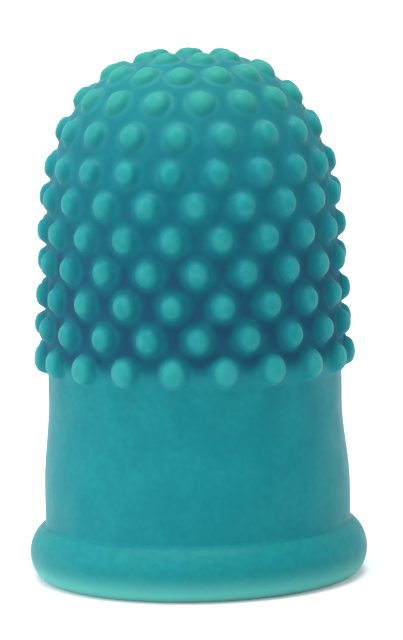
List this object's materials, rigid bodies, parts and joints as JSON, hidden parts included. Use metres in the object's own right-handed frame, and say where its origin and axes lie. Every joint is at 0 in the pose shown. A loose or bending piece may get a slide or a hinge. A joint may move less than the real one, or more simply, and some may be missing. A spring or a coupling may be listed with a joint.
{
  "type": "rubber fingertip",
  "caption": "Moulded rubber fingertip for sorting paper: a domed finger sleeve with staggered grip nubs, a smooth cuff and a round bead at the mouth.",
  "frame": {"origin": "centre of the open mouth, on the plane of the bead's flat underside that the fingertip stands on", "axes": "+Z along the finger's axis from the mouth to the domed end; the form is turned about Z, so X and Y are free, with +X to the right of the pictured view and +Y away from the viewer"},
  "size_m": [0.021, 0.021, 0.0328],
  "materials": {
    "sleeve_rubber": "soft satin moulded natural rubber, teal, faintly mottled",
    "grip_rubber": "soft satin moulded natural rubber, teal, nub tops a little worn and lighter",
    "bead_rubber": "soft satin moulded natural rubber, teal, slightly glossier along the round edge"
  },
  "bodies": {
    "root": {"finger_sleeve": "sleeve_rubber", "nubbed_grip": "grip_rubber", "rim_bead": "bead_rubber"}
  },
  "joints": []
}
